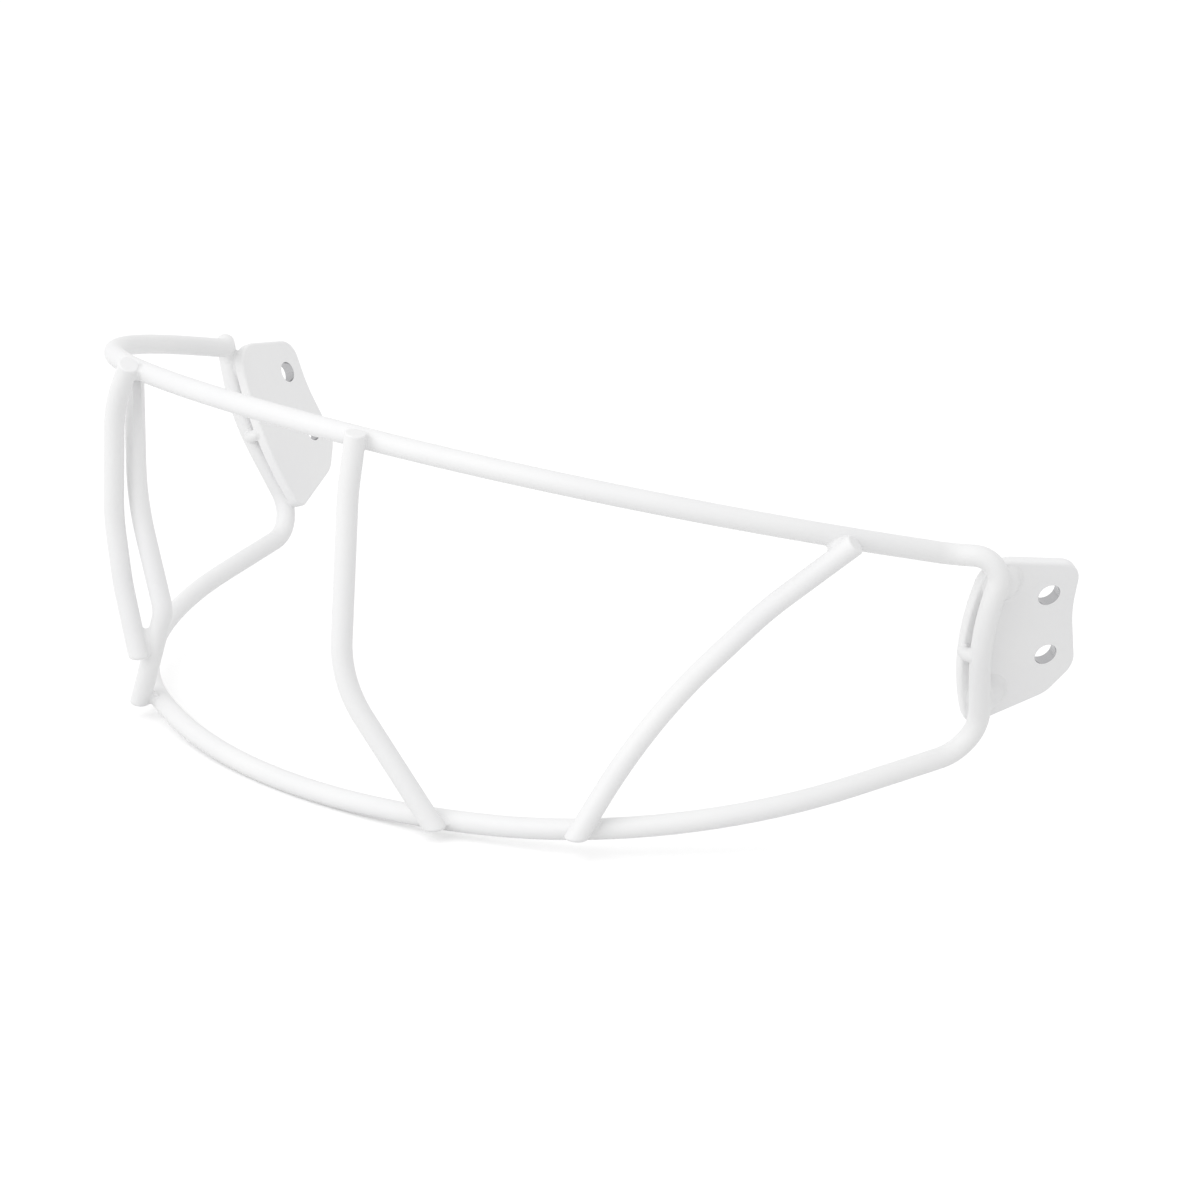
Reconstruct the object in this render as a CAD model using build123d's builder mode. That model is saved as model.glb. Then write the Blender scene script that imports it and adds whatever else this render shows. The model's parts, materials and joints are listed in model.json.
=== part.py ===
from build123d import *
import math
import os

# Softball face guard: one closed wire hoop (brow bar, side legs, lower bar), four wire uprights
# welded across it and two sheet plates that screw to the sides of a helmet. Millimetres and degrees.
# X is across the face, -Y the way the player looks, +Z up. The hoop is level as it is worn.
# The origin is the middle of the guard's width and depth, at the height of its lowest point.

os.makedirs("parts", exist_ok=True)

# Wire and welds
wire_diameter = 4.2         # steel wire with its powder coat
weld_gap = 0.02             # left between two lapped wires, closed by the weld collar
collar_radius = 3.3         # round weld where two wires touch
mound_half_length = 5.2     # plate weld, half its length along the leg
mound_radius = 5.1          # its round back, whose centre lies this far under the plate's face
mound_sink = 1.5
tack_half_length = 2.3      # short tack from the plate's front edge up to the leg
tack_radius = 1.4
edge_radius = 0.6           # soft edges that the powder coat leaves
half_turn_angle = 180

# Brow bar: two tangent arcs and a short straight end, in a plane that falls to the rear
brow_height = 80.5          # bar centre at the middle of the face
brow_pitch = 14.75
brow_front_radius = 137.0
brow_front_angle = 15.9
brow_side_radius = 107.0
brow_side_angle = 55.7
brow_end_run = 10.5

# Lower bar: two tangent arcs and a straight end, in a plane that rises to the rear
lower_setback = 7.7         # how far the lower bar's middle lies behind the brow bar's
lower_pitch = 9.05
lower_front_radius = 141.6
lower_front_angle = 22.35
lower_side_radius = 78.9
lower_side_angle = 52.4
lower_end_run = 28.3

# Side leg between the bars: a sharp bend at the shoulder, a long bend at its middle
shoulder_out = 8.94         # the shoulder's corner, from the corner at the brow bar's end
shoulder_back = 6.49
shoulder_drop = 0.13
leg_inset = 5.7             # the corner at the leg's middle, from the shoulder's corner
leg_advance = 1.05
leg_drop = 15.9
flare_radius = 7.8
shoulder_radius = 4.6
leg_reach_share = 0.94      # of the straight run that the shoulder's bend leaves free
jaw_radius = 8.3

# Mounting plate, in its own plane from the upper hole: u to the rear, v up
plate_thickness = 2.4
plate_toe = 19.1            # its outer face turns this far to the front
plate_lean = 20.8           # and this far down
upper_hole_inset = 1.95     # the upper hole, from the shoulder's corner
upper_hole_back = 13.85
upper_hole_drop = 10.4
hole_diameter = 4.6
hole_pitch = 14.7
lower_hole_shift = 2.3      # how far the lower hole lies behind the upper one
plate_top_front = (-14.6, 9.8)
plate_top_rear = (5.9, 6.5)
plate_waist = (6.1, -4.5)
plate_heel = (9.5, -18.0)
plate_bottom_rear = (4.5, -24.3)
plate_bottom_front = (-11.5, -30.4)
plate_front_middle = (-16.7, -7.0)
plate_front_radius = 6.0
plate_rear_radii = (4.8, 30.0, 5.0, 6.0)
plate_toe_radius = 3.0
plate_rear_reach = 11.2     # from the upper hole to the plate's rearmost point, along the guard

# Places of the welds on the plate
top_mound = (-11.0, 4.2)
bottom_mound = (-9.0, -22.4)
tack_place = (-16.0, -11.0)
tack_height = 1.2           # its middle over the plate's outer face
tack_tilt = 65.0            # its length stands this steep on the plate

# Uprights: stations along the bars from their middles, then the bends between the two ends:
# shares of the way from top to bottom, shifts away from the chord (outward, to the rear) and radii
wire_stub = 2.5             # how far an upright runs past the bar that it is lapped on
cut_edge = 0.35             # softening of the wires' cut ends
right_centre_brow_station = 34.2
right_centre_lower_station = 44.5
right_centre_bend_shares = (0.133, 0.634)
right_centre_bend_shifts = ((-3.5, -1.4), (-11.8, -6.7))
right_centre_bend_radii = (40.0, 25.0)
right_centre_foot_stub = 1.2  # how far the foot runs past the lower bar
right_side_brow_station = 129.4
right_side_lower_station = 74.3
right_side_bend_shares = (0.24, 0.63)
right_side_bend_shifts = ((-4.5, 0), (-8.5, 0))
right_side_bend_radii = (84.0, 88.0)
right_side_foot_stub = 3.8
left_inner_brow_station = 47.3
left_inner_lower_station = 56.2
left_inner_bend_shares = (0.39, 0.7)
left_inner_bend_shifts = ((-0.2, 0), (-8.6, 0))
left_inner_bend_radii = (46.0, 6.0)
left_outer_brow_station = 39.4
left_outer_foot_share = 0.79  # where its foot laps the inner upright, along that wire
left_outer_bend_shares = (0.12, 0.52, 0.75)
left_outer_bend_shifts = ((4.5, 0), (6.3, 0), (4.2, 0))
left_outer_bend_radii = (30.0, 34.0, 34.0)
left_outer_foot_stub = 1.2

wire_radius = wire_diameter / 2
lap = wire_diameter + weld_gap
ahead = Vector(0, -1, 0)
upwards = Vector(0, 0, 1)


def write(piece, label):
    """Names a finished piece and writes it as its own file."""
    piece.label = label
    export_step(piece, "parts/" + label + ".step")
    solids = piece.solids()
    print(label, len(solids), round(sum(solid.volume for solid in solids), 2))


def wire_along(path):
    """Round wire along a path, cut square at both ends and a little softened there."""
    with BuildPart() as wire:
        with BuildSketch(Plane(origin=path @ 0, z_dir=path % 0)):
            Circle(wire_radius)
        sweep(path=path)
        for place in (path @ 0, path @ 1):
            cut_face = wire.faces().sort_by_distance(place)[0]
            fillet(cut_face.edges(), cut_edge)
    return wire


def mirrored(point):
    """The same point on the other side of the face."""
    return Vector(-point.X, point.Y, point.Z)


def bar_path(plane, front_radius, front_angle, side_radius, side_angle):
    """Half of a bar in its plane: two tangent arcs from the middle of the face to the right."""
    with BuildLine(plane) as line:
        middle = JernArc((0, 0), (1, 0), front_radius, front_angle)
        JernArc(middle @ 1, middle % 1, side_radius, side_angle)
    return line


# The brow bar laid flat gives its reach to the rear, and with it the guard's whole depth
flat_brow = bar_path(
    Plane.XY, brow_front_radius, brow_front_angle, brow_side_radius, brow_side_angle).wire()
flat_end = flat_brow @ 1 + (flat_brow % 1) * brow_end_run
brow_reach = flat_end.Y * math.cos(math.radians(brow_pitch))
guard_depth = wire_radius + brow_reach + shoulder_back + upper_hole_back + plate_rear_reach
brow_front = wire_radius - guard_depth / 2

# The two bars
brow_plane = Plane(
    origin=(0, brow_front, brow_height),
    x_dir=(1, 0, 0),
    z_dir=(0, math.sin(math.radians(brow_pitch)), math.cos(math.radians(brow_pitch))),
)
brow_line = bar_path(
    brow_plane, brow_front_radius, brow_front_angle, brow_side_radius, brow_side_angle)
brow_bar = brow_line.wire()

lower_plane = Plane(
    origin=(0, brow_front + lower_setback, wire_radius),
    x_dir=(1, 0, 0),
    z_dir=(0, -math.sin(math.radians(lower_pitch)), math.cos(math.radians(lower_pitch))),
)
lower_line = bar_path(
    lower_plane, lower_front_radius, lower_front_angle, lower_side_radius, lower_side_angle)
lower_bar = lower_line.wire()

# The leg joins the bars' ends through its four bends
flare = brow_bar @ 1 + (brow_bar % 1) * brow_end_run
shoulder = flare + Vector(shoulder_out, shoulder_back, -shoulder_drop)
leg_middle = shoulder + Vector(-leg_inset, -leg_advance, -leg_drop)
jaw = lower_bar @ 1 + (lower_bar % 1) * lower_end_run
upper_leg = leg_middle - shoulder
shoulder_slope = math.tan(math.radians((shoulder - flare).get_angle(upper_leg) / 2))
leg_slope = math.tan(math.radians(upper_leg.get_angle(jaw - leg_middle) / 2))
leg_reach = leg_reach_share * (upper_leg.length - shoulder_radius * shoulder_slope)
leg_radius = leg_reach / leg_slope
with BuildLine() as half_hoop:
    add(brow_line.line)
    leg_line = FilletPolyline(
        brow_bar @ 1, flare, shoulder, leg_middle, jaw, lower_bar @ 1,
        radius=[flare_radius, shoulder_radius, leg_radius, jaw_radius],
    )
    add(lower_line.line)

with BuildPart() as hoop:
    with BuildSketch(Plane(origin=brow_bar @ 0, z_dir=brow_bar % 0)):
        Circle(wire_radius)
    sweep(path=half_hoop.wire())
    mirror(about=Plane.YZ)
write(hoop.part, "hoop")


def bead(centre, along, half_length, radius):
    """Egg-shaped weld bead, long in the direction along."""
    across = along.cross(ahead).normalized()
    with BuildPart() as egg:
        with BuildSketch(Plane(origin=centre, x_dir=along, z_dir=across)):
            with BuildLine():
                back = EllipticalCenterArc((0, 0), half_length, radius, arc_size=half_turn_angle)
                Line(back @ 1, back @ 0)
            make_face()
        revolve(axis=Axis(centre, along))
    return egg


def lapped(bar, station, side, along):
    """Centre of a wire lapped on the front of a bar, and its way out from the bar.

    The wire runs in the direction along and crosses the bar at the station, a length from the
    middle of the face. side is 1 on the right of the face and -1 on the left.
    """
    centre = bar.position_at(station, position_mode=PositionMode.LENGTH)
    tangent = bar.tangent_at(station, position_mode=PositionMode.LENGTH)
    if side < 0:
        centre = mirrored(centre)
        tangent = mirrored(tangent)
    outward = tangent.cross(along).normalized()
    if outward.dot(ahead) < 0:
        outward = outward * -1
    return centre + outward * lap, outward


def bend_points(top, bottom, shares, shifts, side):
    """Corners of an upright's path between its two ends."""
    return [
        top + (bottom - top) * share + Vector(side * outward, rearward, 0)
        for share, (outward, rearward) in zip(shares, shifts)
    ]


def upright_path(points, radii):
    """Straight runs joined by the upright's bends."""
    with BuildLine() as line:
        FilletPolyline(*points, radius=list(radii))
    return line.wire()


def right_upright(brow_station, lower_station, shares, shifts, radii, foot_stub):
    """An upright lapped on the front of both bars: its wire and its two weld places."""
    top, top_out = lapped(brow_bar, brow_station, 1, upwards)
    foot, foot_out = lapped(lower_bar, lower_station, 1, upwards)
    corners = bend_points(top, foot, shares, shifts, 1)
    top, top_out = lapped(brow_bar, brow_station, 1, top - corners[0])
    foot, foot_out = lapped(lower_bar, lower_station, 1, corners[-1] - foot)
    top_end = top + (top - corners[0]).normalized() * wire_stub
    foot_end = foot + (foot - corners[-1]).normalized() * foot_stub
    path = upright_path([top_end, *corners, foot_end], radii)
    return wire_along(path), (top, top_out), (foot, foot_out)


def collar(wire_centre, outward, *wires):
    """Round weld where a wire touches what lies behind it, cut by each of the wires."""
    contact = Plane(origin=wire_centre - outward * (lap / 2), z_dir=outward)
    with BuildPart() as collar_weld:
        with Locations(contact.location):
            Sphere(collar_radius)
        for wire in wires:
            add(wire.part, mode=Mode.SUBTRACT)
    return collar_weld


right_centre, right_centre_top, right_centre_foot = right_upright(
    right_centre_brow_station, right_centre_lower_station,
    right_centre_bend_shares, right_centre_bend_shifts, right_centre_bend_radii,
    right_centre_foot_stub,
)
right_side, right_side_top, right_side_foot = right_upright(
    right_side_brow_station, right_side_lower_station,
    right_side_bend_shares, right_side_bend_shifts, right_side_bend_radii,
    right_side_foot_stub,
)
write(right_centre.part, "upright_right_centre")
write(right_side.part, "upright_right_side")

# The left inner upright butts against the brow bar from below and laps the lower bar
inner_top = mirrored(brow_bar.position_at(left_inner_brow_station, position_mode=PositionMode.LENGTH))
inner_foot, inner_foot_out = lapped(lower_bar, left_inner_lower_station, -1, upwards)
inner_corners = bend_points(inner_top, inner_foot, left_inner_bend_shares, left_inner_bend_shifts, -1)
inner_foot, inner_foot_out = lapped(
    lower_bar, left_inner_lower_station, -1, inner_corners[-1] - inner_foot)
inner_run = (inner_corners[0] - inner_top).normalized()
inner_end = inner_foot + (inner_foot - inner_corners[-1]).normalized() * wire_stub
inner_path = upright_path([inner_top, *inner_corners, inner_end], left_inner_bend_radii)
left_inner = wire_along(inner_path)
with left_inner:
    add(hoop.part, mode=Mode.SUBTRACT)
write(left_inner.part, "upright_left_inner")

# The left outer upright laps the brow bar's front, and its foot laps the inner upright
foot_station = inner_path.length * left_outer_foot_share
outer_top, outer_top_out = lapped(brow_bar, left_outer_brow_station, -1, upwards)
outer_foot, outer_foot_out = lapped(inner_path, foot_station, 1, Vector(1, 0, 0))
outer_corners = bend_points(outer_top, outer_foot, left_outer_bend_shares, left_outer_bend_shifts, -1)
outer_top, outer_top_out = lapped(brow_bar, left_outer_brow_station, -1, outer_top - outer_corners[0])
outer_foot, outer_foot_out = lapped(inner_path, foot_station, 1, outer_corners[-1] - outer_foot)
outer_end = outer_top + (outer_top - outer_corners[0]).normalized() * wire_stub
outer_foot_end = outer_foot + (outer_foot - outer_corners[-1]).normalized() * left_outer_foot_stub
left_outer = wire_along(upright_path([outer_end, *outer_corners, outer_foot_end], left_outer_bend_radii))
write(left_outer.part, "upright_left_outer")

# Weld collars: the wire's centre, its way out, and the wires that cut the collar
crossings = {
    "right_centre_top": (*right_centre_top, right_centre, hoop),
    "right_centre_foot": (*right_centre_foot, right_centre, hoop),
    "right_side_top": (*right_side_top, right_side, hoop),
    "right_side_foot": (*right_side_foot, right_side, hoop),
    "left_outer_top": (outer_top, outer_top_out, left_outer, hoop),
    "left_outer_foot": (outer_foot, outer_foot_out, left_outer, left_inner),
    "left_inner_top": (inner_top + inner_run * lap, inner_run, left_inner, hoop),
    "left_inner_foot": (inner_foot, inner_foot_out, left_inner, hoop),
}
for place, (wire_centre, outward, *wires) in crossings.items():
    write(collar(wire_centre, outward, *wires).part, "weld_" + place)

# Plates: the right one's plane, outer face up, at the upper hole
lean = math.radians(plate_lean)
toe = math.radians(plate_toe)
plate_out = Vector(math.cos(lean) * math.cos(toe), -math.cos(lean) * math.sin(toe), -math.sin(lean))
plate_rear = Vector(math.sin(toe), math.cos(toe), 0)
plate_up = plate_out.cross(plate_rear)
upper_hole = shoulder + Vector(-upper_hole_inset, upper_hole_back, -upper_hole_drop)
plate_plane = Plane(origin=upper_hole, x_dir=plate_rear, z_dir=plate_out)
lower_hole_drop = math.sqrt(hole_pitch**2 - lower_hole_shift**2)


def on_plate(place, height):
    """Point over the right plate's outer face."""
    return upper_hole + plate_rear * place[0] + plate_up * place[1] + plate_out * height


# The right plate is cut and drilled flat, outer face up, and then laid in its plane
with BuildPart() as blank:
    with BuildSketch() as outline:
        with BuildLine():
            FilletPolyline(
                plate_top_front, plate_top_rear, plate_waist, plate_heel, plate_bottom_rear,
                plate_bottom_front, radius=plate_rear_radii,
            )
            ThreePointArc(plate_bottom_front, plate_front_middle, plate_top_front)
        make_face()
        fillet(outline.vertices().sort_by_distance(plate_top_front)[0], plate_front_radius)
        fillet(outline.vertices().sort_by_distance(plate_bottom_front)[0], plate_toe_radius)
    extrude(amount=-plate_thickness)
    fillet(blank.faces().filter_by(Axis.Z).edges(), edge_radius)
    with BuildSketch():
        with Locations((0, 0), (lower_hole_shift, -lower_hole_drop)):
            Circle(hole_diameter / 2)
    extrude(amount=-plate_thickness, mode=Mode.SUBTRACT)
with BuildPart() as plate:
    with Locations(plate_plane.location):
        add(blank.part)
write(plate.part, "mounting_plate_right")

tack_run = plate_rear * math.cos(math.radians(tack_tilt)) + plate_out * math.sin(math.radians(tack_tilt))
plate_welds = {
    "top": bead(on_plate(top_mound, -mound_sink), plate_up, mound_half_length, mound_radius),
    "middle": bead(on_plate(tack_place, tack_height), tack_run, tack_half_length, tack_radius),
    "bottom": bead(on_plate(bottom_mound, -mound_sink), plate_up, mound_half_length, mound_radius),
}
for place, weld in plate_welds.items():
    with weld:
        if place != "middle":
            split(bisect_by=plate_plane, keep=Keep.TOP)
        add(plate.part, mode=Mode.SUBTRACT)
        add(hoop.part, mode=Mode.SUBTRACT)
    write(weld.part, "weld_right_plate_" + place)

# The left plate and its welds mirror the right ones
left_pieces = {"mounting_plate_left": plate}
for place, weld in plate_welds.items():
    left_pieces["weld_left_plate_" + place] = weld
for label, piece in left_pieces.items():
    with BuildPart() as left_piece:
        mirror(piece.part, about=Plane.YZ)
    write(left_piece.part, label)
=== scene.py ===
"""Looks of the softball face guard: a white coated wire hoop, its uprights, plates and welds."""

import json
import logging
import math
from dataclasses import dataclass, field, replace
from enum import Enum

import bmesh
import bpy
from mathutils import Matrix, Vector

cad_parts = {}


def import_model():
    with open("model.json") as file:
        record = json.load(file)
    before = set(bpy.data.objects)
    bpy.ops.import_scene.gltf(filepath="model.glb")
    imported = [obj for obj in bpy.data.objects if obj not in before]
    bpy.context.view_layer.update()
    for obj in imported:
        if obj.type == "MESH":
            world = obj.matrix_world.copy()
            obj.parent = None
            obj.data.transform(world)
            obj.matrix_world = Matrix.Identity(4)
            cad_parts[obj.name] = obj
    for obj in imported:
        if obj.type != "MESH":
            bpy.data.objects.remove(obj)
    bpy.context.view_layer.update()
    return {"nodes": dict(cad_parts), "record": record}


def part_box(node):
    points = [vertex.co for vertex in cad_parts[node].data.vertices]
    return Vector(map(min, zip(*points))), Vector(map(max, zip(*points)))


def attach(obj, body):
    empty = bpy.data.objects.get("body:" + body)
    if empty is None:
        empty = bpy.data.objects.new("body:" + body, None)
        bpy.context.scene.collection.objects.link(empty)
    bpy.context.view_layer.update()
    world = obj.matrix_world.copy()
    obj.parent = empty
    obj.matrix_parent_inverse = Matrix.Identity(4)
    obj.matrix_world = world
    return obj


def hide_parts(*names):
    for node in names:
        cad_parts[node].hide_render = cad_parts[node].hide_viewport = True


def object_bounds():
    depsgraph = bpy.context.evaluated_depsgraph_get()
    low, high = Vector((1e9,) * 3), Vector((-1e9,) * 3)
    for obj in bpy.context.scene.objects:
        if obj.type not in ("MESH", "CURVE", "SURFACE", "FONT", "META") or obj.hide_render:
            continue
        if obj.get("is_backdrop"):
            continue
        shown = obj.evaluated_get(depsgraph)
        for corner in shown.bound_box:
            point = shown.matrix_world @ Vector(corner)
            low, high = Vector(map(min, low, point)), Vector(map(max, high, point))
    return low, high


log = logging.getLogger("face_guard")

MILLIMETRE = 0.001
MERGE_DISTANCE = MILLIMETRE / 500
COLUMN_WIDTH = 220.0
ROW_HEIGHT = 240.0
BODY = "root"


class Part(Enum):
    """The kinds of piece that the guard is welded up from."""

    WIRE = "coated_wire"
    SHEET = "coated_sheet"
    WELD = "coated_weld"


class Side(Enum):
    """The two sides of the guard."""

    RIGHT = "right"
    LEFT = "left"


# Shader helpers


def new_material(name: str) -> tuple[bpy.types.Material, bpy.types.NodeTree]:
    """Makes an empty node material.

    Args:
        name: Name of the material.

    Returns:
        The material and its cleared node tree.
    """
    material = bpy.data.materials.new(name)
    material.use_nodes = True
    material.node_tree.nodes.clear()
    return material, material.node_tree


def place(tree: bpy.types.NodeTree, kind: str, column: float, row: float,
          **values) -> bpy.types.Node:
    """Adds a node at a grid place and sets its plain properties.

    Args:
        tree: Node tree that receives the node.
        kind: Blender's name for the kind of node.
        column: Grid column, to the right.
        row: Grid row, downward.
        **values: Properties to set on the node.

    Returns:
        The new node.
    """
    node = tree.nodes.new(kind)
    node.location = (column * COLUMN_WIDTH, -row * ROW_HEIGHT)
    for name, value in values.items():
        setattr(node, name, value)
    return node


def noise(tree: bpy.types.NodeTree, column: float, row: float,
          scale: float, detail: float) -> bpy.types.Node:
    """Adds a noise texture of a scale per metre and a number of octaves."""
    node = place(tree, "ShaderNodeTexNoise", column, row)
    node.inputs["Scale"].default_value = scale
    node.inputs["Detail"].default_value = detail
    return node


def remap(tree: bpy.types.NodeTree, column: float, row: float, source: bpy.types.NodeSocket,
          low: float, high: float, out_low: float, out_high: float) -> bpy.types.NodeSocket:
    """Maps a value from one range to another, without running past its ends.

    Args:
        tree: Node tree that receives the node.
        column: Grid column.
        row: Grid row.
        source: Socket with the value.
        low: Lowest value that is told apart.
        high: Highest value that is told apart.
        out_low: Result at the lowest value.
        out_high: Result at the highest value.

    Returns:
        The socket with the result.
    """
    node = place(tree, "ShaderNodeMapRange", column, row)
    tree.links.new(source, node.inputs["Value"])
    ends = {"From Min": low, "From Max": high, "To Min": out_low, "To Max": out_high}
    for name, value in ends.items():
        node.inputs[name].default_value = value
    return node.outputs["Result"]


def mathed(tree: bpy.types.NodeTree, column: float, row: float, operation: str,
           first: bpy.types.NodeSocket,
           second: bpy.types.NodeSocket | float) -> bpy.types.NodeSocket:
    """Joins two values with a math operation.

    Args:
        tree: Node tree that receives the node.
        column: Grid column.
        row: Grid row.
        operation: Blender's name for the operation.
        first: First value.
        second: Second value, a socket or a number.

    Returns:
        The socket with the result.
    """
    node = place(tree, "ShaderNodeMath", column, row, operation=operation)
    tree.links.new(first, node.inputs[0])
    if isinstance(second, bpy.types.NodeSocket):
        tree.links.new(second, node.inputs[1])
    else:
        node.inputs[1].default_value = second
    return node.outputs[0]


class CoatGroups:
    """Shader node groups that the guard's finishes share. Scales are per metre."""

    peel_detail = 1.5
    speckle_scale = 2600.0
    speckle_detail = 2.0
    drift_detail = 3.0
    drift_low = 0.35
    drift_high = 0.65
    rub_scale = 180.0
    rub_detail = 2.0

    def __init__(self) -> None:
        """Builds both groups."""
        self.grain = self.build_grain()
        self.tone = self.build_tone()

    def build_grain(self) -> bpy.types.ShaderNodeTree:
        """Makes the powder coat's fine orange-peel surface.

        Returns:
            A group with the peel's and the speckle's strengths in, and a height in millimetres out.
        """
        tree = bpy.data.node_groups.new("coat_grain", "ShaderNodeTree")
        face = tree.interface
        for name in ("Peel Per Metre", "Peel", "Speckle"):
            face.new_socket(name, in_out="INPUT", socket_type="NodeSocketFloat")
        face.new_socket("Height", in_out="OUTPUT", socket_type="NodeSocketFloat")
        entry = place(tree, "NodeGroupInput", 0, 0)
        exit_node = place(tree, "NodeGroupOutput", 6, 0)
        where = place(tree, "ShaderNodeTexCoord", 0, 1)
        waves = noise(tree, 2, 0, 0.0, self.peel_detail)
        grains = noise(tree, 2, 1, self.speckle_scale, self.speckle_detail)
        for texture in (waves, grains):
            tree.links.new(where.outputs["Object"], texture.inputs["Vector"])
        tree.links.new(entry.outputs["Peel Per Metre"], waves.inputs["Scale"])
        peel = mathed(tree, 3, 0, "MULTIPLY", waves.outputs["Fac"], entry.outputs["Peel"])
        speckle = mathed(
            tree, 3, 1, "MULTIPLY", grains.outputs["Fac"], entry.outputs["Speckle"])
        total = mathed(tree, 4, 0, "ADD", peel, speckle)
        tree.links.new(total, exit_node.inputs["Height"])
        return tree

    def build_tone(self) -> bpy.types.ShaderNodeTree:
        """Makes the coat's slow drift of tone and gloss.

        Returns:
            A group with two colours and the drift's scale in, and a colour and a gloss mask out.
        """
        tree = bpy.data.node_groups.new("coat_tone", "ShaderNodeTree")
        face = tree.interface
        for name in ("Full Coat", "Thin Coat"):
            face.new_socket(name, in_out="INPUT", socket_type="NodeSocketColor")
        face.new_socket("Drift Per Metre", in_out="INPUT", socket_type="NodeSocketFloat")
        face.new_socket("Color", in_out="OUTPUT", socket_type="NodeSocketColor")
        face.new_socket("Gloss Mask", in_out="OUTPUT", socket_type="NodeSocketFloat")
        entry = place(tree, "NodeGroupInput", 0, 0)
        exit_node = place(tree, "NodeGroupOutput", 6, 0)
        where = place(tree, "ShaderNodeTexCoord", 0, 1)
        clouds = noise(tree, 2, 0, 0.0, self.drift_detail)
        rubs = noise(tree, 2, 1, self.rub_scale, self.rub_detail)
        for texture in (clouds, rubs):
            tree.links.new(where.outputs["Object"], texture.inputs["Vector"])
        tree.links.new(entry.outputs["Drift Per Metre"], clouds.inputs["Scale"])
        share = remap(
            tree, 3, 0, clouds.outputs["Fac"], self.drift_low, self.drift_high, 0.0, 1.0)
        mix = place(tree, "ShaderNodeMix", 4, 0, data_type="RGBA")
        tree.links.new(share, mix.inputs["Factor"])
        tree.links.new(entry.outputs["Full Coat"], mix.inputs["A"])
        tree.links.new(entry.outputs["Thin Coat"], mix.inputs["B"])
        tree.links.new(mix.outputs["Result"], exit_node.inputs["Color"])
        mask = mathed(tree, 4, 1, "MULTIPLY", rubs.outputs["Fac"], share)
        tree.links.new(mask, exit_node.inputs["Gloss Mask"])
        return tree


@dataclass(frozen=True)
class CoatFinish:
    """White powder coat: its colours, gloss and how rough its surface lies."""

    name: str
    full_coat: tuple[float, float, float] = (0.87, 0.87, 0.87)
    thin_coat: tuple[float, float, float] = (0.85, 0.85, 0.855)
    smooth: float = 0.38
    rough: float = 0.52
    specular: float = 0.32
    drift_per_metre: float = 45.0
    peel_per_metre: float = 650.0
    peel: float = 0.7
    speckle: float = 0.3
    bump: float = 0.25
    bump_depth: float = 0.00006

    def shade(self, groups: CoatGroups) -> tuple[bpy.types.Material, bpy.types.Node]:
        """Builds the coat's material.

        Args:
            groups: The node groups that all coats share.

        Returns:
            The material, and its surface shader for further work.
        """
        material, tree = new_material(self.name)
        output = place(tree, "ShaderNodeOutputMaterial", 6, 0)
        surface = place(tree, "ShaderNodeBsdfPrincipled", 5, 0)
        surface.inputs["Specular IOR Level"].default_value = self.specular
        tree.links.new(surface.outputs["BSDF"], output.inputs["Surface"])
        tone = place(tree, "ShaderNodeGroup", 1, 0, node_tree=groups.tone)
        tone.inputs["Full Coat"].default_value = (*self.full_coat, 1.0)
        tone.inputs["Thin Coat"].default_value = (*self.thin_coat, 1.0)
        tone.inputs["Drift Per Metre"].default_value = self.drift_per_metre
        tree.links.new(tone.outputs["Color"], surface.inputs["Base Color"])
        gloss = remap(tree, 2, 1, tone.outputs["Gloss Mask"], 0.0, 1.0, self.smooth, self.rough)
        tree.links.new(gloss, surface.inputs["Roughness"])
        grain = place(tree, "ShaderNodeGroup", 1, 2, node_tree=groups.grain)
        grain.inputs["Peel Per Metre"].default_value = self.peel_per_metre
        grain.inputs["Peel"].default_value = self.peel
        grain.inputs["Speckle"].default_value = self.speckle
        bump = place(tree, "ShaderNodeBump", 3, 2)
        bump.inputs["Strength"].default_value = self.bump
        bump.inputs["Distance"].default_value = self.bump_depth
        tree.links.new(grain.outputs["Height"], bump.inputs["Height"])
        tree.links.new(bump.outputs["Normal"], surface.inputs["Normal"])
        return material, surface


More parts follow.
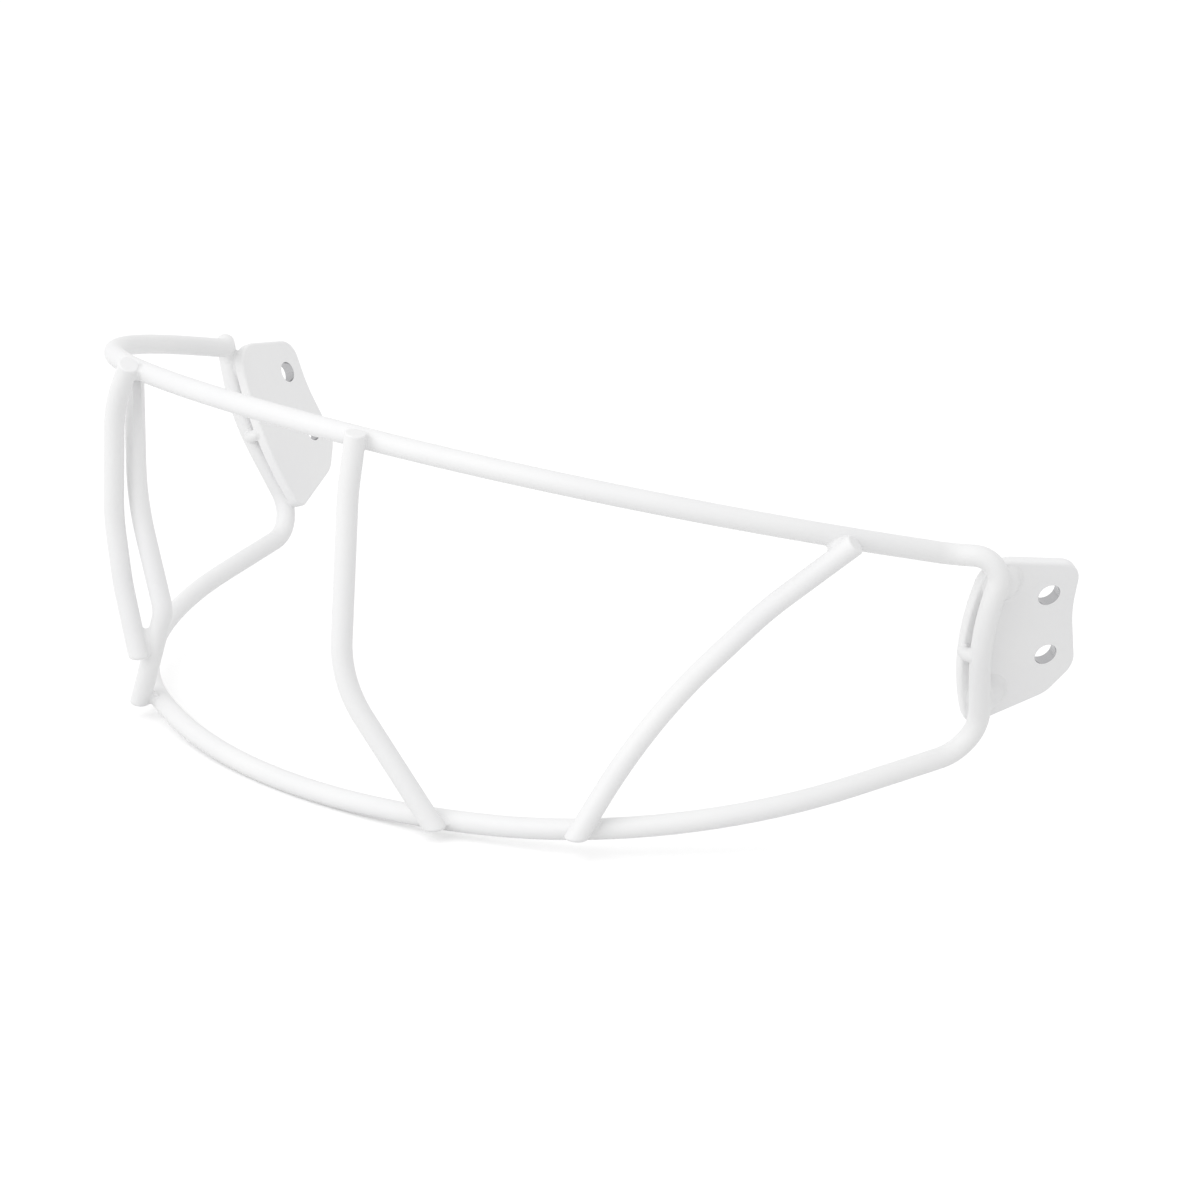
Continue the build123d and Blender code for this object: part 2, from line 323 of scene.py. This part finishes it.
@dataclass(frozen=True)
class DrilledFinish:
    """Coat on the sheet, with bare metal on the drilled holes' walls. Sizes are in millimetres."""

    coat: CoatFinish
    bare: tuple[float, float, float] = (0.46, 0.46, 0.47)
    bare_roughness: float = 0.22
    hole_radius: float = 2.3
    soft_rim_start: float = 0.02
    soft_rim_end: float = 0.08

    def shade(self, groups: CoatGroups, holes: list[tuple[Vector, Vector]]) -> bpy.types.Material:
        """Builds the sheet's material.

        Args:
            groups: The node groups that all coats share.
            holes: Centre and axis of each hole, in metres.

        Returns:
            The material.
        """
        material, surface = self.coat.shade(groups)
        tree = material.node_tree
        where = place(tree, "ShaderNodeTexCoord", -6, 4)
        nearest = None
        for row, (centre, axis) in enumerate(holes):
            offset = place(tree, "ShaderNodeVectorMath", -5, 4 + row, operation="SUBTRACT")
            tree.links.new(where.outputs["Object"], offset.inputs[0])
            offset.inputs[1].default_value = centre
            across = place(tree, "ShaderNodeVectorMath", -4, 4 + row, operation="CROSS_PRODUCT")
            tree.links.new(offset.outputs["Vector"], across.inputs[0])
            across.inputs[1].default_value = axis
            reach = place(tree, "ShaderNodeVectorMath", -3, 4 + row, operation="LENGTH")
            tree.links.new(across.outputs["Vector"], reach.inputs[0])
            distance = reach.outputs["Value"]
            if nearest is None:
                nearest = distance
            else:
                nearest = mathed(tree, -2, 4 + row, "MINIMUM", nearest, distance)
        edge = self.hole_radius * MILLIMETRE
        start, end = self.soft_rim_start * MILLIMETRE, self.soft_rim_end * MILLIMETRE
        wall = remap(tree, -1, 4, nearest, edge + start, edge + end, 1.0, 0.0)
        old_colour = surface.inputs["Base Color"].links[0].from_socket
        old_gloss = surface.inputs["Roughness"].links[0].from_socket
        colour = place(tree, "ShaderNodeMix", 4, -1, data_type="RGBA")
        tree.links.new(wall, colour.inputs["Factor"])
        tree.links.new(old_colour, colour.inputs["A"])
        colour.inputs["B"].default_value = (*self.bare, 1.0)
        tree.links.new(colour.outputs["Result"], surface.inputs["Base Color"])
        gloss = place(tree, "ShaderNodeMix", 4, 1, data_type="FLOAT")
        tree.links.new(wall, gloss.inputs["Factor"])
        tree.links.new(old_gloss, gloss.inputs["A"])
        gloss.inputs["B"].default_value = self.bare_roughness
        tree.links.new(gloss.outputs["Result"], surface.inputs["Roughness"])
        tree.links.new(wall, surface.inputs["Metallic"])
        return material


WIRE_COAT = CoatFinish(name="wire_coat")
SHEET_COAT = CoatFinish(
    name="sheet_coat", full_coat=(0.9, 0.9, 0.9), thin_coat=(0.885, 0.885, 0.89),
    peel_per_metre=520.0, peel=0.8, bump=0.3)
WELD_COAT = CoatFinish(
    name="weld_coat", thin_coat=(0.83, 0.83, 0.835), peel_per_metre=1100.0, peel=0.9, bump=0.5)


def dress(piece: bpy.types.Object, material: bpy.types.Material) -> None:
    """Gives a whole piece one material."""
    if not piece.material_slots:
        piece.data.materials.append(material)
    for slot in piece.material_slots:
        slot.material = material


# Sub-assemblies


@dataclass
class Upright:
    """An upright wire whose foot is ground level and soft. Sizes are in millimetres."""

    node: bpy.types.Object
    radius: float = 2.1
    round_run: float = 1.0
    fullness: float = 2.4
    level: float = 2.5
    rings: int = 12
    spokes: int = 64
    least_cut_area: float = 5.0
    cut_slack: float = 1.1
    way_digits: int = 2
    crease: float = 35.0

    def foot_cut(self) -> tuple[Vector, Vector]:
        """Finds the flat cut at the wire's lower end.

        Returns:
            Its middle and its outward way.
        """
        mesh = self.node.data
        groups: dict[tuple[float, ...], list[bpy.types.MeshPolygon]] = {}
        for face in mesh.polygons:
            way = tuple(round(value, self.way_digits) for value in face.normal)
            groups.setdefault(way, []).append(face)
        cuts = []
        for faces in groups.values():
            area = sum(face.area for face in faces)
            if area < self.least_cut_area * MILLIMETRE**2:
                continue
            middle = sum((face.center * face.area for face in faces), Vector()) / area
            spread = max((mesh.vertices[index].co - middle).length
                         for face in faces for index in face.vertices)
            if spread < self.radius * MILLIMETRE * self.cut_slack:
                cuts.append((middle, faces[0].normal.copy()))
        return min(cuts, key=lambda cut: cut[0].z)

    def build(self) -> bpy.types.Object:
        """Makes the wire again with its foot cut towards level and capped softly.

        Returns:
            The wire's piece, which stands for its CAD node.
        """
        middle, way = self.foot_cut()
        run = self.round_run * MILLIMETRE
        ground_way = (way - Vector((0.0, 0.0, self.level))).normalized()
        slope = math.tan(way.angle(ground_way))
        wire = bmesh.new()
        wire.from_mesh(self.node.data)
        bmesh.ops.remove_doubles(wire, verts=wire.verts, dist=MERGE_DISTANCE)
        base = middle - way * (run + self.radius * MILLIMETRE * slope)
        bmesh.ops.bisect_plane(wire, geom=[*wire.verts, *wire.edges, *wire.faces],
                               plane_co=base, plane_no=ground_way, clear_outer=True)
        across = way.orthogonal().normalized()
        beside = way.cross(across)
        power = self.fullness
        old_ring = None
        for ring in range(self.rings):
            share = math.sin(math.pi / 2 * ring / self.rings)
            wide = self.radius * MILLIMETRE * (1.0 - share**power) ** (1.0 / power)
            new_ring = []
            for spoke in range(self.spokes):
                angle = math.tau * spoke / self.spokes
                out = (across * math.cos(angle) + beside * math.sin(angle)) * wide
                out -= way * (out.dot(ground_way) / way.dot(ground_way))
                new_ring.append(wire.verts.new(base + way * run * share + out))
            if old_ring:
                for spoke in range(self.spokes):
                    after = (spoke + 1) % self.spokes
                    wire.faces.new(
                        (old_ring[spoke], old_ring[after], new_ring[after], new_ring[spoke]))
            old_ring = new_ring
        tip = wire.verts.new(base + way * run)
        for spoke in range(self.spokes):
            wire.faces.new((old_ring[spoke], old_ring[(spoke + 1) % self.spokes], tip))
        bmesh.ops.recalc_face_normals(wire, faces=wire.faces)
        mesh = bpy.data.meshes.new(self.node.name + "_wire")
        wire.to_mesh(mesh)
        wire.free()
        for face in mesh.polygons:
            face.use_smooth = True
        mesh.set_sharp_from_angle(angle=math.radians(self.crease))
        piece = bpy.data.objects.new(self.node.name + "_wire", mesh)
        bpy.context.scene.collection.objects.link(piece)
        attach(piece, BODY)
        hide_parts(self.node.name)
        return piece


@dataclass
class WireCage:
    """The closed hoop and the four uprights welded across it."""

    nodes: dict[str, bpy.types.Object]
    uprights: tuple[str, ...] = (
        "upright_right_centre",
        "upright_right_side",
        "upright_left_inner",
        "upright_left_outer",
    )

    def build(self, groups: CoatGroups) -> dict[str, bpy.types.Object]:
        """Grinds the uprights' feet and coats every wire.

        Args:
            groups: The node groups that all coats share.

        Returns:
            The shown wires by the names of their CAD nodes.
        """
        wires = {"hoop": self.nodes["hoop"]}
        for name in self.uprights:
            wires[name] = Upright(self.nodes[name]).build()
        material, _ = WIRE_COAT.shade(groups)
        for name, wire in wires.items():
            dress(wire, material)
            log.info("wire %s coated", name)
        return wires


@dataclass
class SidePlate:
    """One sheet plate with two screw holes."""

    nodes: dict[str, bpy.types.Object]
    side: Side
    record: dict

    def holes(self) -> list[tuple[Vector, Vector]]:
        """Finds this plate's holes.

        Returns:
            Centre and axis of each of its two screw holes.
        """
        found = []
        for mount in self.record["mounts"]:
            if mount["kind"] == "bore" and mount["name"].endswith(self.side.value):
                found.append((Vector(mount["pos_m"]), Vector(mount["axis"]).normalized()))
        return found

    def dress(self, groups: CoatGroups) -> None:
        """Coats the sheet and bares its hole walls."""
        side = self.side.value
        finish = DrilledFinish(coat=replace(SHEET_COAT, name=f"sheet_coat_{side}"))
        dress(self.nodes[f"mounting_plate_{side}"], finish.shade(groups, self.holes()))
        log.info("plate %s coated", side)


def near_copy(source: bpy.types.Object, centre: Vector, reach: float,
              spare: float = 2.5) -> bmesh.types.BMesh:
    """Copies the part of a piece that lies in a box, and closes where it is cut.

    Args:
        source: The piece, with its vertices in metres.
        centre: Middle of the box.
        reach: Half of the box's width.
        spare: Reaches beyond which small faces are left out at once.

    Returns:
        A closed mesh of that part. The caller frees it.
    """
    cut = bmesh.new()
    cut.from_mesh(source.data)
    far = [face for face in cut.faces
           if min((vertex.co - centre).length for vertex in face.verts) > reach * spare
           and face.calc_area() < reach * reach]
    bmesh.ops.delete(cut, geom=far, context="FACES")
    bmesh.ops.remove_doubles(cut, verts=cut.verts, dist=MERGE_DISTANCE)
    for axis in range(3):
        for sign in (1.0, -1.0):
            way = Vector((0.0, 0.0, 0.0))
            way[axis] = sign
            geometry = [*cut.verts, *cut.edges, *cut.faces]
            bmesh.ops.bisect_plane(cut, geom=geometry, plane_co=centre + way * reach,
                                   plane_no=way, clear_outer=True)
            rims = [edge for edge in cut.edges if edge.is_boundary]
            if rims:
                bmesh.ops.holes_fill(cut, edges=rims, sides=0)
    return cut


@dataclass(frozen=True)
class FilletForm:
    """How a weld flows into its pieces. Sizes are in millimetres.

    A fill is the radius up to which a hollow is filled: fill where all pieces meet, and
    bead_fill where the bead meets each piece by itself. A bead_size of nought leaves the bead out.
    """

    reach: float
    fill: float
    sink: float
    passes: int = 6
    bead_size: float = 1.0
    bead_fill: float = 0.0


CROSSING_FORM = FilletForm(reach=6.0, fill=0.6, sink=0.05, bead_size=0.0)
TACK_FORM = FilletForm(reach=2.6, fill=0.25, sink=0.03)
MOUND_FORM = FilletForm(
    reach=7.5, fill=0.25, sink=0.12, passes=12, bead_size=0.8, bead_fill=1.4)


@dataclass
class WeldFillet:
    """A weld that flows into the pieces that it joins. Sizes are in millimetres."""

    shapes: dict[str, bpy.types.Object]
    name: str
    joined: tuple[str, ...]
    form: FilletForm
    voxel: float = 0.16
    smoothing: float = 0.5

    def step(self, piece: bpy.types.Object, kind: str, **values) -> None:
        """Applies one modifier to the piece.

        Args:
            piece: The piece that is shaped.
            kind: Blender's name for the modifier.
            **values: Properties to set on the modifier.
        """
        modifier = piece.modifiers.new(kind.lower(), kind)
        for name, value in values.items():
            setattr(modifier, name, value)
        bpy.context.view_layer.update()
        shaped = bpy.data.meshes.new_from_object(
            piece.evaluated_get(bpy.context.evaluated_depsgraph_get()))
        piece.modifiers.clear()
        piece.data = shaped

    def gather(self, piece: bpy.types.Object, parts: tuple[str, ...], centre: Vector) -> None:
        """Puts the near parts of some pieces together in the weld's mesh.

        Args:
            piece: The weld's piece, whose mesh is overwritten.
            parts: Names of the pieces.
            centre: Middle of the weld.
        """
        loose = bmesh.new()
        for part in parts:
            cut = near_copy(self.shapes[part], centre, self.form.reach * MILLIMETRE)
            if part == self.name:
                sized = Matrix.Diagonal((self.form.bead_size,) * 3).to_4x4()
                at_bead = Matrix.Translation(centre)
                bmesh.ops.transform(
                    cut, matrix=at_bead @ sized @ at_bead.inverted(), verts=cut.verts)
            cut.to_mesh(piece.data)
            cut.free()
            loose.from_mesh(piece.data)
        loose.to_mesh(piece.data)
        loose.free()

    def build(self) -> bpy.types.Object:
        """Shapes the weld as the coat would lie over it and over the nearest parts of its pieces.

        Returns:
            The weld's piece, which stands for its CAD node.
        """
        form = self.form
        low, high = (Vector(corner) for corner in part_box(self.name))
        centre = (low + high) / 2
        label = self.name + "_fillet"
        piece = bpy.data.objects.new(label, bpy.data.meshes.new(label))
        bpy.context.scene.collection.objects.link(piece)
        size = self.voxel * MILLIMETRE
        bead = (self.name,) if form.bead_size else ()
        sets = [((*bead, *self.joined), form.fill)]
        if form.bead_fill:
            sets += [((*bead, part), form.bead_fill) for part in self.joined]
        union = bmesh.new()
        for parts, fill in sets:
            self.gather(piece, parts, centre)
            for grow in (fill, -fill):
                self.step(piece, "REMESH", mode="VOXEL", voxel_size=size)
                self.step(piece, "DISPLACE", strength=grow * MILLIMETRE, mid_level=0.0)
            union.from_mesh(piece.data)
        union.to_mesh(piece.data)
        union.free()
        self.step(piece, "REMESH", mode="VOXEL", voxel_size=size)
        self.step(piece, "SMOOTH", factor=self.smoothing, iterations=form.passes)
        self.step(piece, "DISPLACE", strength=-form.sink * MILLIMETRE, mid_level=0.0)
        for face in piece.data.polygons:
            face.use_smooth = True
        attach(piece, BODY)
        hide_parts(self.name)
        log.info("%s shaped with %d faces", piece.name, len(piece.data.polygons))
        return piece


@dataclass
class Welds:
    """The coated weld beads of the cage and the plates."""

    shapes: dict[str, bpy.types.Object]
    crossings: dict[str, tuple[str, ...]] = field(default_factory=lambda: {
        "weld_right_centre_top": ("hoop", "upright_right_centre"),
        "weld_right_centre_foot": ("hoop", "upright_right_centre"),
        "weld_right_side_top": ("hoop", "upright_right_side"),
        "weld_right_side_foot": ("hoop", "upright_right_side"),
        "weld_left_outer_top": ("hoop", "upright_left_outer"),
        "weld_left_outer_foot": ("upright_left_inner", "upright_left_outer"),
        "weld_left_inner_top": ("hoop", "upright_left_inner"),
        "weld_left_inner_foot": ("hoop", "upright_left_inner"),
    })
    plate_spots: dict[str, FilletForm] = field(default_factory=lambda: {
        "top": MOUND_FORM,
        "middle": TACK_FORM,
        "bottom": MOUND_FORM,
    })

    def build(self, groups: CoatGroups) -> None:
        """Shapes and coats every weld bead."""
        material, _ = WELD_COAT.shade(groups)
        for name, joined in self.crossings.items():
            dress(WeldFillet(self.shapes, name, joined, CROSSING_FORM).build(), material)
        for side in Side:
            joined = ("hoop", f"mounting_plate_{side.value}")
            for spot, form in self.plate_spots.items():
                name = f"weld_{side.value}_plate_{spot}"
                dress(WeldFillet(self.shapes, name, joined, form).build(), material)


@dataclass
class Studio:
    """Camera, floor, world and lamp. Lengths are in metres, the lens in millimetres."""

    azimuth: float = 48.57
    elevation: float = 16.16
    aim: tuple[float, float, float] = (0.0, 0.03472, 0.02578)
    distance: float = 1.0063
    lens: float = 146.56
    sensor: float = 36.0
    near_clip: float = 0.01
    floor_size: float = 8.0
    ambient: float = 0.86
    key_power: float = 5.8
    key_size: float = 1.5
    key_distance: float = 1.3
    key_direction: tuple[float, float, float] = (-0.6, 0.42, 0.68)
    floor_glow: float = 0.32
    floor_tone: float = 0.78

    def axes(self) -> tuple[Vector, Vector, Vector]:
        """Works out the camera's own directions.

        Returns:
            Its right, its up, and the way back from the object to the camera.
        """
        turn = math.radians(self.azimuth)
        rise = math.radians(self.elevation)
        right = Vector((math.cos(turn), math.sin(turn), 0.0))
        level = math.cos(rise)
        back = Vector((math.sin(turn) * level, -math.cos(turn) * level, math.sin(rise)))
        return right, back.cross(right), back

    def build_camera(self) -> None:
        """Sets the camera where the photograph was taken from."""
        right, up, back = self.axes()
        data = bpy.data.cameras.new("camera")
        data.lens = self.lens
        data.sensor_width = self.sensor
        data.clip_start = self.near_clip
        camera = bpy.data.objects.new("camera", data)
        place_at = Vector(self.aim) + back * self.distance
        turned = Matrix((right, up, back)).transposed().to_4x4()
        camera.matrix_world = Matrix.Translation(place_at) @ turned
        bpy.context.scene.collection.objects.link(camera)
        bpy.context.scene.camera = camera

    def build_lamp(self) -> None:
        """Hangs one wide soft lamp at the upper left of the view."""
        right, up, back = self.axes()
        across, above, towards = self.key_direction
        way = (right * across + up * above + back * towards).normalized()
        data = bpy.data.lights.new("wide_lamp", "AREA")
        data.shape = "DISK"
        data.size = self.key_size
        data.energy = self.key_power
        lamp = bpy.data.objects.new("wide_lamp", data)
        lamp.location = Vector(self.aim) + way * self.key_distance
        lamp.rotation_euler = way.to_track_quat("Z", "Y").to_euler()
        bpy.context.scene.collection.objects.link(lamp)

    def seen_mask(self, tree: bpy.types.NodeTree, column: float,
                  row: float) -> bpy.types.NodeSocket:
        """Tells rays that see the background from rays that light the object.

        Args:
            tree: Node tree of the floor or the world.
            column: Grid column.
            row: Grid row.

        Returns:
            A socket that is 1 for camera, glossy and transmission rays, and 0 for the others.
        """
        path = place(tree, "ShaderNodeLightPath", column, row)
        seen = mathed(tree, column + 1, row, "MAXIMUM",
                      path.outputs["Is Camera Ray"], path.outputs["Is Glossy Ray"])
        return mathed(tree, column + 2, row, "MAXIMUM", seen, path.outputs["Is Transmission Ray"])

    def build_world(self) -> None:
        """Surrounds the scene with plain white that lights it more softly than it shows."""
        world = bpy.data.worlds.new("studio")
        bpy.context.scene.world = world
        world.use_nodes = True
        tree = world.node_tree
        tree.nodes.clear()
        output = place(tree, "ShaderNodeOutputWorld", 5, 0)
        light = place(tree, "ShaderNodeBackground", 4, 0)
        light.inputs["Color"].default_value = (1.0, 1.0, 1.0, 1.0)
        seen = self.seen_mask(tree, 0, 0)
        strength = remap(tree, 3, 1, seen, 0.0, 1.0, self.ambient, 1.0)
        tree.links.new(strength, light.inputs["Strength"])
        tree.links.new(light.outputs["Background"], output.inputs["Surface"])

    def build_floor(self) -> None:
        """Lays a white floor that keeps the guard's soft shadow."""
        half = self.floor_size / 2
        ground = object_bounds()[0][2]
        mesh = bpy.data.meshes.new("floor")
        corners = [(-half, -half), (half, -half), (half, half), (-half, half)]
        mesh.from_pydata([(*corner, ground) for corner in corners], [], [(0, 1, 2, 3)])
        floor = bpy.data.objects.new("floor", mesh)
        bpy.context.scene.collection.objects.link(floor)
        material, tree = new_material("studio_floor")
        output = place(tree, "ShaderNodeOutputMaterial", 6, 0)
        lit = place(tree, "ShaderNodeBsdfDiffuse", 3, 0)
        lit.inputs["Color"].default_value = (*(self.floor_tone,) * 3, 1.0)
        glow = place(tree, "ShaderNodeEmission", 3, 1)
        seen = self.seen_mask(tree, 0, 1)
        strength = remap(tree, 2, 2, seen, 0.0, 1.0, 0.0, self.floor_glow)
        tree.links.new(strength, glow.inputs["Strength"])
        both = place(tree, "ShaderNodeAddShader", 5, 0)
        tree.links.new(lit.outputs["BSDF"], both.inputs[0])
        tree.links.new(glow.outputs["Emission"], both.inputs[1])
        tree.links.new(both.outputs["Shader"], output.inputs["Surface"])
        dress(floor, material)
        floor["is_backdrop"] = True

    def build(self) -> None:
        """Builds the whole studio."""
        bpy.context.scene.view_settings.view_transform = "Standard"
        self.build_camera()
        self.build_world()
        self.build_lamp()
        self.build_floor()
        log.info("studio built")


def main() -> None:
    """Builds the guard's looks in order."""
    logging.basicConfig(level=logging.INFO, format="%(message)s")
    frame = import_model()
    nodes = frame["nodes"]
    groups = CoatGroups()
    wires = WireCage(nodes).build(groups)
    for side in Side:
        SidePlate(nodes, side, frame["record"]).dress(groups)
    Welds({**nodes, **wires}).build(groups)
    Studio().build()


if __name__ == "__main__":
    main()
